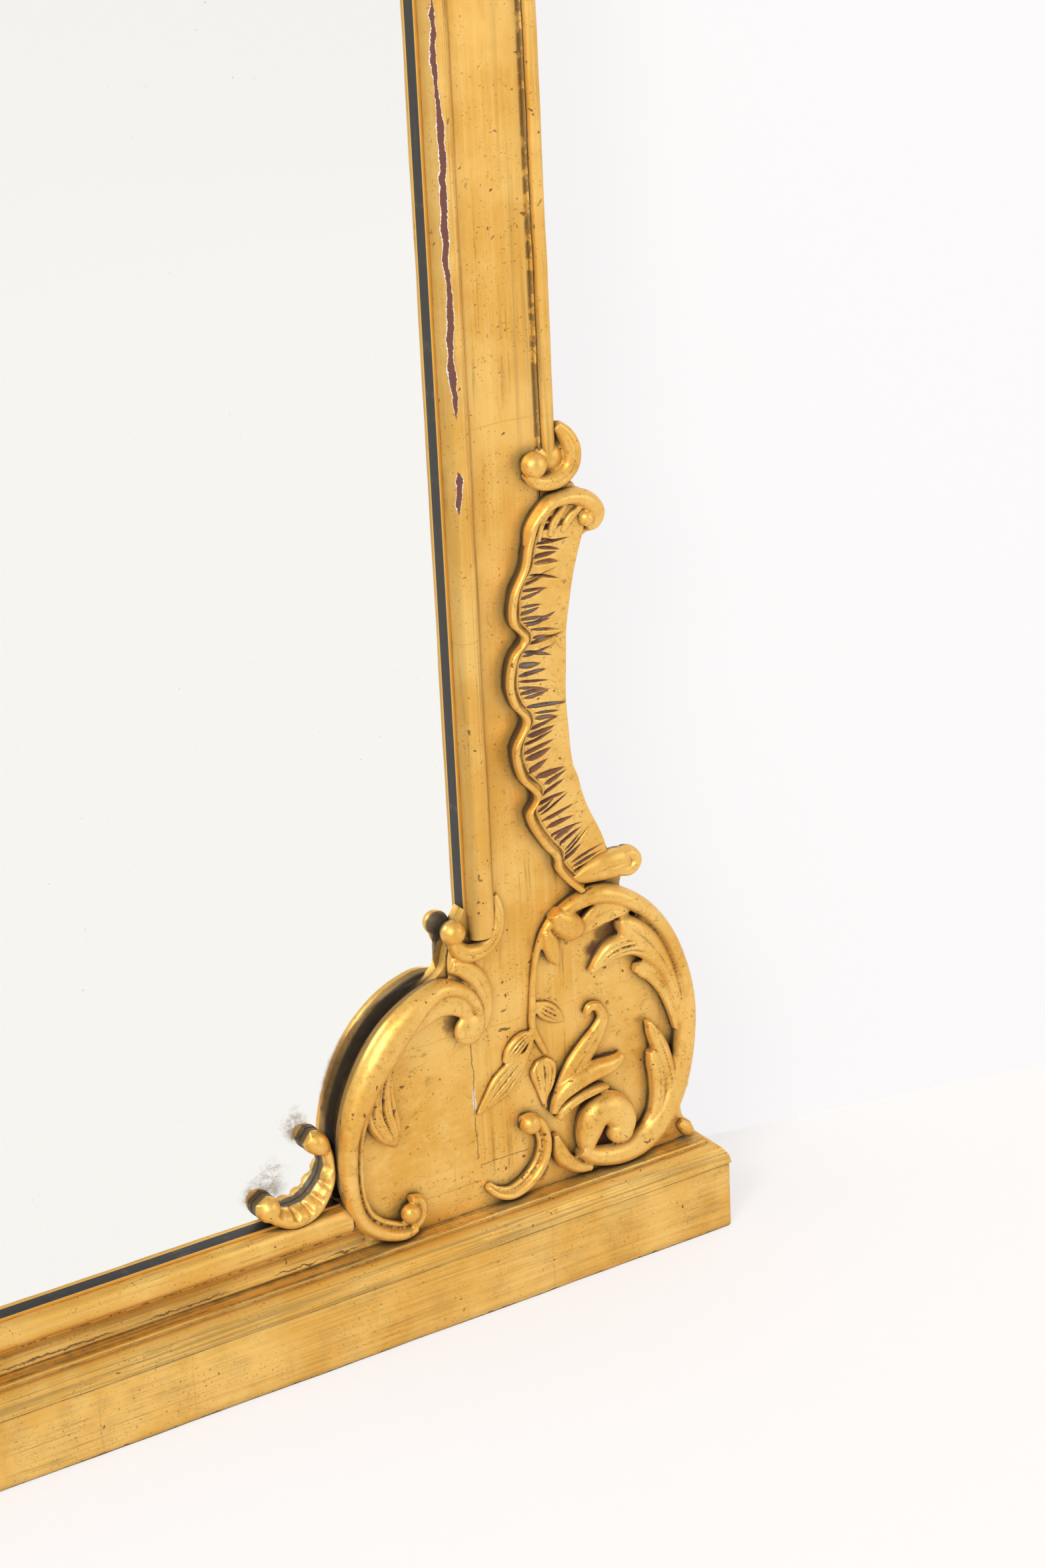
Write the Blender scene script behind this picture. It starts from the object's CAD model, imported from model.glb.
import math
import bpy
import numpy as np
from mathutils import Matrix, Vector


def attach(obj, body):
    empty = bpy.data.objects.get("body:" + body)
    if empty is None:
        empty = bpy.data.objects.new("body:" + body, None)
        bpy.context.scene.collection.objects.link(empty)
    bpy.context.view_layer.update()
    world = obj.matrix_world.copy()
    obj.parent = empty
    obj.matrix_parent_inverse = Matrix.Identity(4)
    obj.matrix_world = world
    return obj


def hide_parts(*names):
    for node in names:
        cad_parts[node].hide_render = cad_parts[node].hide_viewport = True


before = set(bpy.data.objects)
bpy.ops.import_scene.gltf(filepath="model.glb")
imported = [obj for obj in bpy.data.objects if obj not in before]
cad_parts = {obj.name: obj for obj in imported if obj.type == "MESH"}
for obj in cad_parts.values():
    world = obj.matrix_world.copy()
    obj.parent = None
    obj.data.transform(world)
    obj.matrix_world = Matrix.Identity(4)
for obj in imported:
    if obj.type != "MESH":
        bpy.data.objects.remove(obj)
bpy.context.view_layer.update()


# ---------------------------------------------------------------- room
# The mirror stands on a pale floor a little in front of a pale wall that runs at a slight angle to it.
# A large soft lamp shines from the upper left, with a weaker one on the right.
def add_node(tree, kind, inputs=None, **settings):
    """Adds a node; each input is a number, a colour, another node's socket or Maths."""
    made = tree.nodes.new(kind)
    for key, value in settings.items():
        setattr(made, key, value)
    for key, value in (inputs or {}).items():
        value = getattr(value, "socket", value)
        if isinstance(value, bpy.types.NodeSocket):
            tree.links.new(value, made.inputs[key])
        else:
            made.inputs[key].default_value = value
    return made


def maths(tree, operation, first, second=0.0, clamp=False):
    made = add_node(tree, "ShaderNodeMath", {0: first, 1: second}, operation=operation)
    made.use_clamp = clamp
    return Maths(tree, made.outputs[0])


class Maths:
    """A number in a node tree; a sum, product or step of it adds a node to that tree."""

    def __init__(self, tree, socket):
        self.tree = tree
        self.socket = socket

    def __add__(self, other):
        return maths(self.tree, "ADD", self, other)

    def __radd__(self, other):
        return maths(self.tree, "ADD", other, self)

    def __sub__(self, other):
        return maths(self.tree, "SUBTRACT", self, other)

    def __rsub__(self, other):
        return maths(self.tree, "SUBTRACT", other, self)

    def __mul__(self, other):
        return maths(self.tree, "MULTIPLY", self, other)

    def __truediv__(self, other):
        return maths(self.tree, "DIVIDE", self, other)

    def __abs__(self):
        return maths(self.tree, "ABSOLUTE", self)

    def step(self, low, high):
        """0 below low and 1 above high, softly between; the other way round where low is the larger."""
        made = add_node(self.tree, "ShaderNodeMapRange", {"Value": self, "From Min": low, "From Max": high},
                        interpolation_type="SMOOTHSTEP")
        return Maths(self.tree, made.outputs[0])


def larger(first, second):
    return maths(first.tree, "MAXIMUM", first, second)


def new_material(name):
    material = bpy.data.materials.new(name)
    material.use_nodes = True
    material.node_tree.nodes.clear()
    return material, material.node_tree


def ray_kinds(tree):
    """Whether a ray comes straight from the eye or through glass, and whether it comes off a mirror."""
    rays = add_node(tree, "ShaderNodeLightPath").outputs
    straight = Maths(tree, rays["Is Camera Ray"])
    return larger(straight, rays["Is Transmission Ray"]), Maths(tree, rays["Is Glossy Ray"])


def pale_surface(name, colour, glow, gleam):
    """A pale matt surface, clear from behind so that the back can be seen; glow is how much of its own
    colour it shows plainly, gleam the same in reflections."""
    material, tree = new_material(name)
    seen, reflected = ray_kinds(tree)
    matt = add_node(tree, "ShaderNodeBsdfDiffuse", {"Color": colour})
    bright = add_node(tree, "ShaderNodeEmission", {"Color": colour, "Strength": 1.0})
    both = add_node(tree, "ShaderNodeMixShader", {
        0: larger(seen * glow, reflected * gleam), 1: matt.outputs[0], 2: bright.outputs[0]})
    clear = add_node(tree, "ShaderNodeBsdfTransparent")
    behind = add_node(tree, "ShaderNodeNewGeometry").outputs["Backfacing"]
    one_sided = add_node(tree, "ShaderNodeMixShader", {
        0: behind, 1: both.outputs[0], 2: clear.outputs[0]})
    add_node(tree, "ShaderNodeOutputMaterial", {"Surface": one_sided.outputs[0]})
    return material


def flat_sheet(name, corners, material):
    mesh = bpy.data.meshes.new(name)
    mesh.from_pydata(corners, [], [(0, 1, 2, 3)])
    mesh.materials.append(material)
    sheet = bpy.data.objects.new(name, mesh)
    bpy.context.collection.objects.link(sheet)


room_reach = 14.0
wall_height = 9.0
wall_y = 0.2684
wall_slope = -0.2238
floor_colour = (0.955, 0.928, 0.915, 1)
wall_colour = (0.950, 0.934, 0.936, 1)
floor_paint = pale_surface("floor_paint", floor_colour, 0.72, 0.95)
wall_paint = pale_surface("wall_paint", wall_colour, 0.88, 0.88)
flat_sheet("floor", [(-room_reach, -room_reach, 0), (room_reach, -room_reach, 0),
                     (room_reach, room_reach, 0), (-room_reach, room_reach, 0)], floor_paint)
wall_left = (-room_reach, wall_y - wall_slope * room_reach)
wall_right = (room_reach, wall_y + wall_slope * room_reach)
flat_sheet("wall", [(*wall_left, 0), (*wall_right, 0),
                    (*wall_right, wall_height), (*wall_left, wall_height)], wall_paint)


def soft_lamp(name, place, aim, size, watts, colour):
    data = bpy.data.lights.new(name, "AREA")
    data.shape = "DISK"
    data.size = size
    data.energy = watts
    data.color = colour
    lamp = bpy.data.objects.new(name, data)
    lamp.location = place
    lamp.rotation_euler = (Vector(aim) - Vector(place)).to_track_quat("-Z", "Y").to_euler()
    bpy.context.collection.objects.link(lamp)


soft_lamp("key_lamp", (-3.0, -2.8, 3.4), (0.4, 0.0, 0.3), 1.7, 172.0, (1.0, 0.985, 0.96))
soft_lamp("fill_lamp", (3.0, -2.8, 1.9), (0.4, 0.0, 0.3), 2.2, 30.0, (1.0, 0.99, 0.98))

sky = bpy.data.worlds.new("studio")
sky.use_nodes = True
bpy.context.scene.world = sky
sky_tree = sky.node_tree
sky_tree.nodes.clear()
sky_seen = ray_kinds(sky_tree)[0]
sky_light = add_node(sky_tree, "ShaderNodeBackground", {
    "Color": (0.97, 0.98, 1.0, 1), "Strength": 0.54})
sky_white = add_node(sky_tree, "ShaderNodeBackground", {"Color": (1, 1, 1, 1), "Strength": 1.0})
sky_both = add_node(sky_tree, "ShaderNodeMixShader", {
    0: sky_seen, 1: sky_light.outputs[0], 2: sky_white.outputs[0]})
add_node(sky_tree, "ShaderNodeOutputWorld", {"Surface": sky_both.outputs[0]})

camera_data = bpy.data.cameras.new("photo_view")
camera_data.lens = 84.18
camera_data.sensor_width = 36.0
camera_data.sensor_fit = "AUTO"
camera = bpy.data.objects.new("photo_view", camera_data)
camera_right = Vector((0.8395, -0.5415, -0.0454)).normalized()
camera_back = Vector((-0.4883, -0.7884, 0.3741)).normalized()
camera_up = camera_back.cross(camera_right).normalized()
camera.matrix_world = Matrix.Translation((-0.9122, -2.3108, 1.5295)) @ Matrix(
    (camera_right, camera_up, camera_back)).transposed().to_4x4()
bpy.context.collection.objects.link(camera)
bpy.context.scene.camera = camera
bpy.context.scene.view_settings.view_transform = "Standard"


# ---------------------------------------------------------------- base
# Moulded base of gilded wood: a flat plinth board with softened edges and a cove glued on its top that
# returns round both ends. Sizes from here on are in millimetres until a mesh is made of them.
MM = 0.001
half_base = 680.0
base_depth = 95.0
plinth_height = 60.0
plinth_thickness = 30.0
cove_height = 20.0
base_top = plinth_height + cove_height
return_width = 30.0
panel_y = 30.0

leaf_gold = (0.86, 0.49, 0.098, 1)
pale_gold = (0.95, 0.66, 0.23, 1)
deep_gold = (0.66, 0.315, 0.042, 1)
olive_tone = (0.20, 0.122, 0.028, 1)
brown_tone = (0.085, 0.040, 0.010, 1)
bole_red = (0.145, 0.047, 0.027, 1)
back_black = (0.060, 0.042, 0.026, 1)
bare_wood = (0.20, 0.115, 0.052, 1)
leaf_size = 0.083
leaf_lap = 0.0011
broad_shelter = 0.011
tight_shelter = 0.0028


def noise(tree, place, scale, detail=3.0, rough=0.5, distortion=0.0):
    made = add_node(tree, "ShaderNodeTexNoise", {
        "Vector": place, "Scale": scale, "Detail": detail, "Roughness": rough, "Distortion": distortion})
    return Maths(tree, made.outputs[0])


def streaky(tree, detail, rough, *stretched):
    """Noise over a place whose parts are each stretched on their own."""
    place = add_node(tree, "ShaderNodeCombineXYZ", dict(enumerate(stretched))).outputs[0]
    return noise(tree, place, 1.0, detail, rough)


def mixed(tree, share, first, second):
    made = add_node(tree, "ShaderNodeMix", {0: share, 6: first, 7: second}, data_type="RGBA")
    return made.outputs[2]


def object_place(tree):
    """The place on the object, whole and as its x, y and z."""
    place = add_node(tree, "ShaderNodeTexCoord").outputs["Object"]
    parts = add_node(tree, "ShaderNodeSeparateXYZ", {0: place}).outputs
    return place, [Maths(tree, part) for part in parts]


def shaded(tree, **inputs):
    """Ends a material in one shader, with the sockets named with _ for a space."""
    surface = add_node(tree, "ShaderNodeBsdfPrincipled", {
        key.replace("_", " "): value for key, value in inputs.items()})
    add_node(tree, "ShaderNodeOutputMaterial", {"Surface": surface.outputs[0]})


def gilding(name, stretch=(1, 1, 1), tone=0.5, wear=0.3, carved=False, marks=None):
    """Aged gold leaf over red bole, toned olive and brown in the hollows. Marks adds worn or cracked places
    as (mask, colour) pairs. With carved, creases are darker, ridges are rubbed pale and what faces the wall
    is dark, where flat pieces show bare wood."""
    material, tree = new_material(name)
    place, spot = object_place(tree)
    x, y, z = spot
    drawn_out = add_node(tree, "ShaderNodeMapping", {"Vector": place, "Scale": stretch}).outputs[0]

    def grain(scale, detail=3.0, rough=0.6, vector=place):
        return noise(tree, vector, scale, detail, rough)

    def open_share(distance, samples):
        open_sky = add_node(tree, "ShaderNodeAmbientOcclusion", {"Distance": distance}, samples=samples)
        return Maths(tree, open_sky.outputs["AO"])

    patches = grain(14.0, 4.0)
    streaks = grain(150.0, 5.0, 0.7, drawn_out)
    colour = mixed(tree, patches.step(0.36, 0.66), deep_gold, pale_gold)
    colour = mixed(tree, 0.60, colour, leaf_gold)
    colour = mixed(tree, streaks.step(0.46, 0.72) * 0.42, colour, pale_gold)
    scuffs = streaks.step(0.45, 0.34) * grain(26.0, 4.0).step(0.42, 0.60)
    colour = mixed(tree, scuffs * 0.42, colour, olive_tone)

    flat_place = add_node(tree, "ShaderNodeCombineXYZ", {0: x + y, 1: z}).outputs[0]
    sway = add_node(tree, "ShaderNodeTexNoise", {"Vector": place, "Scale": 9.0}).outputs["Color"]
    sway = add_node(tree, "ShaderNodeVectorMath", {0: sway, 1: (0.016, 0.016, 0.0)}, operation="MULTIPLY")
    crooked = add_node(tree, "ShaderNodeVectorMath", {0: flat_place, 1: sway.outputs[0]}, operation="ADD")
    laps = add_node(tree, "ShaderNodeTexBrick", {
        "Vector": crooked.outputs[0], "Scale": 1.0, "Mortar Size": leaf_lap, "Mortar Smooth": 0.6,
        "Brick Width": leaf_size, "Row Height": leaf_size})
    lapped = Maths(tree, laps.outputs["Fac"]) * patches.step(0.42, 0.62)
    colour = mixed(tree, lapped * 0.30, colour, deep_gold)

    uneven = (1.0 - open_share(broad_shelter, 8)) + (streaks - 0.5) * 0.7
    toned = uneven.step(0.12, 0.62)
    colour = mixed(tree, toned * tone, colour, olive_tone)
    colour = mixed(tree, uneven.step(0.46, 0.80) * 0.85, colour, brown_tone)
    seam = (open_share(tight_shelter, 6) + (grain(110.0, 4.0, 0.7) - 0.5) * 0.9).step(0.72, 0.50)
    colour = mixed(tree, seam * (0.25 + grain(48.0, 3.0).step(0.38, 0.60) * 0.6), colour, brown_tone)
    speckled = grain(480.0, 2.0, 0.5).step(0.635, 0.69) * grain(30.0).step(0.40, 0.58)
    colour = mixed(tree, speckled * 0.5, colour, brown_tone)
    spotted = grain(190.0, 1.0, 0.4).step(0.722, 0.742) * grain(17.0).step(0.46, 0.58)
    colour = mixed(tree, spotted * 0.8, colour, bole_red)

    rubbed = grain(170.0, 5.0, 0.7).step(0.60, 0.66) * grain(22.0).step(0.60 - 0.12 * wear, 0.64)
    rubbed = maths(tree, "MULTIPLY", rubbed, wear * 1.6, clamp=True)
    if carved:
        bumpiness = Maths(tree, add_node(tree, "ShaderNodeNewGeometry").outputs["Pointiness"])
        ragged = bumpiness + (grain(240.0, 3.0) - 0.5) * 0.05
        colour = mixed(tree, ragged.step(0.486, 0.430) * 0.85, colour, brown_tone)
        colour = mixed(tree, ragged.step(0.525, 0.590) * 0.45, colour, pale_gold)
        rubbed = larger(rubbed, ragged.step(0.470, 0.40) * grain(45.0, 3.0).step(0.50, 0.60))
    colour = mixed(tree, rubbed, colour, bole_red)
    bare = rubbed
    for mask, paint in (marks(tree, spot, grain) if marks else ()):
        colour = mixed(tree, mask, colour, paint)
        bare = larger(bare, mask)
    normal = add_node(tree, "ShaderNodeTexCoord").outputs["Normal"]
    facing = Maths(tree, add_node(tree, "ShaderNodeSeparateXYZ", {0: normal}).outputs["Y"])
    behind = facing.step(0.02, 0.30)
    if carved:
        panel = panel_y - base_depth / 2
        behind = larger(behind, y.step((panel + 0.6) * MM, (panel + 2.2) * MM))
        colour = mixed(tree, behind * 0.93, colour, back_black)
    else:
        colour = mixed(tree, behind, colour, mixed(tree, streaks, bare_wood, brown_tone))
    bare = larger(bare, behind)

    dented = streaks * 0.35 + grain(300.0, 3.0) * 0.25 - bare * 0.8
    dents = add_node(tree, "ShaderNodeBump", {"Height": dented, "Strength": 0.4, "Distance": 0.0008})
    shaded(tree, Base_Color=colour, Metallic=(1.0 - bare) * (0.72 - toned * 0.45),
           Roughness=(0.37 + streaks * 0.16) + toned * 0.2, Normal=dents.outputs[0])
    return material


def finished(name, points, faces, material, *nodes, slot="gilt_wood", crisp=None, gouged=None):
    """A smooth mesh at the origin, from millimetre points with y measured back from the base's face; edges
    over crisp degrees stay sharp, and gouged tells the material how deep each point is cut."""
    mesh = bpy.data.meshes.new(name)
    placed = (np.asarray(points, dtype=float) - (0, base_depth / 2, 0)) * MM
    mesh.from_pydata(placed.tolist(), [], [list(face) for face in faces])
    mesh.materials.append(material)
    mesh.polygons.foreach_set("use_smooth", [True] * len(mesh.polygons))
    if crisp:
        mesh.set_sharp_from_angle(angle=math.radians(crisp))
    if gouged is not None:
        depths = mesh.attributes.new("gouged", "FLOAT", "POINT")
        depths.data.foreach_set("value", np.asarray(gouged, dtype=float))
    piece = bpy.data.objects.new(name, mesh)
    bpy.context.collection.objects.link(piece)
    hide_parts(*nodes)
    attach(piece, "frame")


def wavering(points, amount=0.3):
    """Small hand-made unevenness, the same each run."""
    p = np.asarray(points, dtype=float)
    x = p[:, 0]
    z = p[:, 2]
    shift = np.stack([np.sin(z / 23 + x / 61) + 0.6 * np.sin(z / 9.1 + 1.3),
                      np.sin(x / 31 + z / 37 + 2) + 0.6 * np.sin(x / 11.3 + z / 13.7),
                      np.sin(x / 27 + 0.7) + 0.6 * np.sin(x / 8.3 + 2.1)], axis=1)
    return p + amount * 0.5 * shift


def run_along(rings):
    """Faces between closed rings of points, with both ends closed; the first ring faces back."""
    count = len(rings[0])
    points = np.concatenate([np.asarray(ring, dtype=float) for ring in rings])
    faces = []
    for i in range(len(rings) - 1):
        for j in range(count):
            k = (j + 1) % count
            faces.append((i * count + j, i * count + k, (i + 1) * count + k, (i + 1) * count + j))
    faces.append(tuple(range(count))[::-1])
    faces.append(tuple((len(rings) - 1) * count + j for j in range(count)))
    return points, faces


def rounded_corner(centre, radius, start, end, count=5):
    """Points on an arc, with the angles in degrees."""
    angles = [math.radians(start + (end - start) * i / (count - 1)) for i in range(count)]
    return [(centre[0] + radius * math.cos(a), centre[1] + radius * math.sin(a)) for a in angles]


def spaced(start, end, pitch):
    return np.linspace(start, end, max(2, int(abs(end - start) / pitch) + 1))


plinth_edge = 2.2
plinth_end_round = 6.0


def plinth_board():
    section = (rounded_corner((plinth_edge, plinth_edge), plinth_edge, 270, 180)
               + rounded_corner((plinth_edge, plinth_height - plinth_edge), plinth_edge, 180, 90)
               + [(plinth_thickness, plinth_height), (plinth_thickness, 0)])
    rings = []
    inner = half_base - plinth_end_round
    turn = [plinth_end_round * math.sin(math.radians(a)) for a in (20, 40, 58, 74, 86, 90)]
    places = [-inner - t for t in turn[::-1]] + list(spaced(-inner, inner, 14)) + [inner + t for t in turn]
    for x in places:
        past = max(abs(x) - inner, 0.0)
        shrink = plinth_end_round - math.sqrt(max(plinth_end_round ** 2 - past ** 2, 0.0))
        rings.append([(x, max(y, shrink + y * (1 - shrink / plinth_thickness)), z) for y, z in section])
    points, faces = run_along(rings)
    return wavering(points), faces


cove_reach = 15.1
cove_rise = 18.0
lip_round = 1.4
returns_from = 32.0


def cove_return():
    """The cove with its two returns, as rings set in from the base's outline."""
    concave = [(cove_reach * (1 - math.cos(a)) ** 0.9, plinth_height + cove_rise * math.sin(a) ** 1.1)
               for a in np.linspace(0, math.pi / 2, 9)]
    section = [(0.0, plinth_height), (0.6, plinth_height + 1.2)] + concave[2:-1] + [
        (14.6, plinth_height + 16.6), (15.2, plinth_height + 17.4)]
    section += rounded_corner((16.6, base_top - lip_round), lip_round, 180, 90, 4)
    section += [(return_width, base_top), (return_width, plinth_height)]
    rings = []
    stations = [(1, y) for y in spaced(base_depth, returns_from, 8)]
    stations += [(0, x) for x in spaced(half_base, -half_base, 12)]
    stations += [(-1, y) for y in spaced(returns_from, base_depth, 8)]
    for side, along in stations:
        ring = []
        for inset, z in section:
            if side:
                ring.append((side * (half_base - inset), along, z))
            else:
                ring.append((along / half_base * (half_base - inset), inset, z))
        rings.append(ring)
    points, faces = run_along(rings)
    return wavering(points, 0.25), faces


def band(value, low, high, soft):
    """1 between low and high, and 0 more than soft outside them."""
    return value.step(low - soft, low) * value.step(high + soft, high)


cove_dirt = (0.0605, 0.072)
hollow_soot = (0.0805, 0.094)
groove_level = (0.0985, 0.1012)
crack_level = (0.0828, 0.0836)
ledge_level = (0.0794, 0.0812)
scuffed_level = (0.003, 0.057)
hollow_ends = (0.352, 0.345)


def level_marks(tree, spot, grain):
    """Dirt in the cove and in the hollow above it, scuffs on the plinth, a crusty groove, a crooked dark
    crack and a worn bottom edge, at levels in metres."""
    x, y, z = spot
    long_streaks = streaky(tree, 4.0, 0.65, x * 7.0, z * 420.0, y * 420.0)
    level = z + (grain(30.0, 4.0) - 0.5) * 0.006
    dirty = band(level, *cove_dirt, 0.004) * long_streaks.step(0.36, 0.62)
    sooty = band(level, *hollow_soot, 0.003) * long_streaks.step(0.38, 0.66)
    inside = abs(x).step(*hollow_ends)
    stains = dirty * 0.62 + sooty * inside * 0.58
    groove = band(z, *groove_level, 0.0006) * (grain(95.0, 5.0, 0.75).step(0.47, 0.55) * inside)
    wander = z + (grain(120.0, 3.0) - 0.5) * 0.0065
    crack = band(wander, *crack_level, 0.0003) * (grain(11.0, 2.0).step(0.44, 0.52) * inside)
    crusty = (long_streaks * 0.6 + grain(95.0, 5.0, 0.7) * 0.4).step(0.44, 0.60)
    ledge = band(z, *ledge_level, 0.0004) * crusty * 0.7
    foot = wander.step(0.0022, 0.0008) * grain(40.0, 3.0).step(0.40, 0.52)
    dark = larger(larger(groove, crack), larger(ledge, foot))
    scuffs = (long_streaks * 0.55 + grain(34.0, 5.0, 0.7) * 0.45).step(0.45, 0.63)
    stains = stains + band(z, *scuffed_level, 0.002) * scuffs * 0.30
    return (stains, olive_tone), (dark * 0.85, brown_tone)


gold_along_x = gilding("gilding_level", stretch=(0.035, 1, 1.6), tone=0.55, wear=0.25, marks=level_marks)
finished("plinth", *plinth_board(), gold_along_x, "base_plinth", crisp=50)
finished("cove", *cove_return(), gold_along_x, "base_cove", crisp=50)


# ---------------------------------------------------------------- stiles and rails
# The flat frame: uprights with a slightly hollowed face between the sight moulding and the outer bead, and
# a bottom rail with a hollow above the base. Wood, gessoed and gilded on the face.
stile_outer = 550.0
sight_x = 450.0
sight_bottom = 125.5
sight_top = 1685.5
frame_top = 1785.5
core_back = 76.0
glass_y = 38.0
rebate = 10.0
torus_reach = 26.0
bead_width = 14.0
hollow_start = 340.0
hollow_full = 430.0


def mirrored(points, faces):
    return np.asarray(points) * (-1, 1, 1), [tuple(face)[::-1] for face in faces]


def both_sides(name, points, faces, material, node, **more):
    """The same piece on the right and mirrored on the left."""
    finished(f"{name}_right", points, faces, material, f"{node}_right", **more)
    finished(f"{name}_left", *mirrored(points, faces), material, f"{node}_left", **more)


def stile():
    left = sight_x + torus_reach
    right = stile_outer - bead_width
    rings = []
    levels = [0.0] + list(spaced(4, frame_top - 4, 14)) + [frame_top]
    for z in levels:
        amount = min(max((z - hollow_start) / (hollow_full - hollow_start), 0), 1)
        ring = [(sight_x, panel_y)]
        for share in np.linspace(0, 1, 15):
            x = left + (right - left) * share
            ring.append((x, panel_y + amount * 2.4 * math.sin(math.pi * share) ** 0.55))
        ring += [(right + 0.8, panel_y + 1.8 * amount), (right + 1.8, panel_y)]
        ring += [(stile_outer, panel_y), (stile_outer, core_back)]
        if sight_bottom - rebate <= z <= sight_top + rebate:
            ring += [(sight_x + rebate, core_back), (sight_x + rebate, glass_y), (sight_x, glass_y)]
        else:
            ring += [(sight_x + rebate, core_back), (sight_x, core_back), (sight_x, glass_y)]
        rings.append([(x, y, z) for x, y in ring])
    return run_along(rings)


rail_low = 99.5
rail_flat_from = 346.0
rail_hollow = 3.4


def bottom_rail():
    """The hollow above the base runs out flat just before the corner scrolls."""
    rings = []
    fades = [side * x for side in (-1, 1) for x in (rail_flat_from, rail_flat_from - 6)]
    for x in sorted(list(spaced(-sight_x, sight_x, 14)) + fades):
        amount = min(max((rail_flat_from - abs(x)) / 6, 0), 1)
        section = [(panel_y, 0.0), (panel_y, base_top), (panel_y, base_top + 1.2),
                   (panel_y + 0.6 * amount, base_top + 1.5)]
        for share in np.linspace(0.08, 0.96, 11):
            section.append((panel_y + amount * (0.6 + rail_hollow * math.sin(math.pi * share) ** 0.8),
                            base_top + 1.5 + (rail_low - 2.2 - base_top) * share))
        section += [(panel_y + 1.4 * amount, rail_low - 0.2), (panel_y, rail_low)]
        section += [(panel_y, sight_bottom), (glass_y, sight_bottom), (glass_y, sight_bottom - rebate),
                    (core_back, sight_bottom - rebate), (core_back, 0.0)]
        rings.append([(x, y, z) for y, z in section])
    return run_along(rings)


def crack_line(grain, along, across, at, low, high, width, waver):
    """A thin crooked crack at one value of across, between two values of along, broken here and there."""
    off = abs((across - at) + (grain(19.0, 6.0, 0.75) - 0.5) * waver)
    ends = along.step(low, low + 0.006) * along.step(high, high - 0.006)
    return off.step(width, width * 0.35) * grain(70.0, 2.0).step(0.36, 0.48) * ends


gesso_white = (0.80, 0.77, 0.70, 1)
joint_up = (0.448, 0.122, 0.242)
chip_up = (0.168, 0.192)
neck_crack = (0.4565, 0.262, 0.315)
joint_level = (0.1195, 0.335, 0.500)
dark_hollows = ((0.429, 0.254, 0.007, 0.007), (0.584, 0.292, 0.015, 0.010), (0.597, 0.302, 0.008, 0.010),
                (0.570, 0.281, 0.011, 0.008), (0.623, 0.176, 0.006, 0.008), (0.574, 0.181, 0.013, 0.003),
                (0.571, 0.113, 0.007, 0.012), (0.600, 0.090, 0.014, 0.008), (0.508, 0.098, 0.007, 0.012),
                (0.340, 0.188, 0.006, 0.014), (0.549, 0.098, 0.006, 0.014))


def upright_marks(tree, spot, grain):
    """Cracks over the joints of the frame, a white chip on one of them, dark hollows beside the carving and
    grime beside the outer bead, at places in metres."""
    side = abs(spot[0])
    z = spot[2]
    cracks = crack_line(grain, z, side, *joint_up, 0.0007, 0.009)
    cracks = larger(cracks, crack_line(grain, z, side, *neck_crack, 0.0006, 0.011))
    cracks = larger(cracks, crack_line(grain, side, z, *joint_level, 0.0006, 0.006))
    chip = crack_line(grain, z, side, joint_up[0], *chip_up, 0.0019, 0.009)
    ragged = (grain(62.0, 5.0, 0.75) - 0.5) * 3.6
    hollows = cracks * 0.0
    for middle, level, wide, high in dark_hollows:
        across = (side - middle) / wide
        up = (z - level) / high
        hollows = larger((across * across + up * up + ragged).step(1.5, 0.2), hollows)
    above = z.step(0.40, 0.46)
    beside = (stile_outer - bead_width) * MM
    groove = side.step(beside - 0.0022, beside - 0.0008) * side.step(beside + 0.0018, beside + 0.0010)
    grime = grain(90.0, 5.0, 0.75).step(0.42, 0.52) * above * groove
    bronze = streaky(tree, 4.0, 0.5, side * 160.0, z * 4.0)
    greenish = bronze.step(0.50, 0.68) * above * side.step(beside - 0.030, beside - 0.006)
    reddish = hollows * grain(50.0, 3.0).step(0.46, 0.56)
    return ((greenish * 0.5, olive_tone), (hollows * 0.8, brown_tone), (reddish * 0.85, bole_red),
            (chip, gesso_white), (cracks * 0.72, brown_tone), (grime * 0.75, brown_tone))


gold_along_z = gilding("gilding_upright", stretch=(1.6, 1, 0.035), wear=0.25, marks=upright_marks)
gold_boards = gilding("gilding_boards", stretch=(0.5, 1, 0.9), wear=0.25, marks=upright_marks)
both_sides("stile", *stile(), gold_along_z, "stile_core", crisp=30)
finished("rail_bottom", *bottom_rail(), gold_along_x, "bottom_rail", crisp=30)


# ---------------------------------------------------------------- corner and ear boards
# Shaped boards that widen the frame at its corners: thin ones before the glass and thick ones outside the
# stile, with edges rounded by hand. The gilding runs over their joints with the frame.
base_corner = (half_base, base_top)
sight_corner = (sight_x, base_top)
mirror_axis_z = 1811.0


def turned_over(points, faces):
    """The same piece for the top of the mirror."""
    upside_down = np.asarray(points) * (1, 1, -1) + (0, 0, mirror_axis_z)
    return upside_down, [tuple(face)[::-1] for face in faces]


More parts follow.
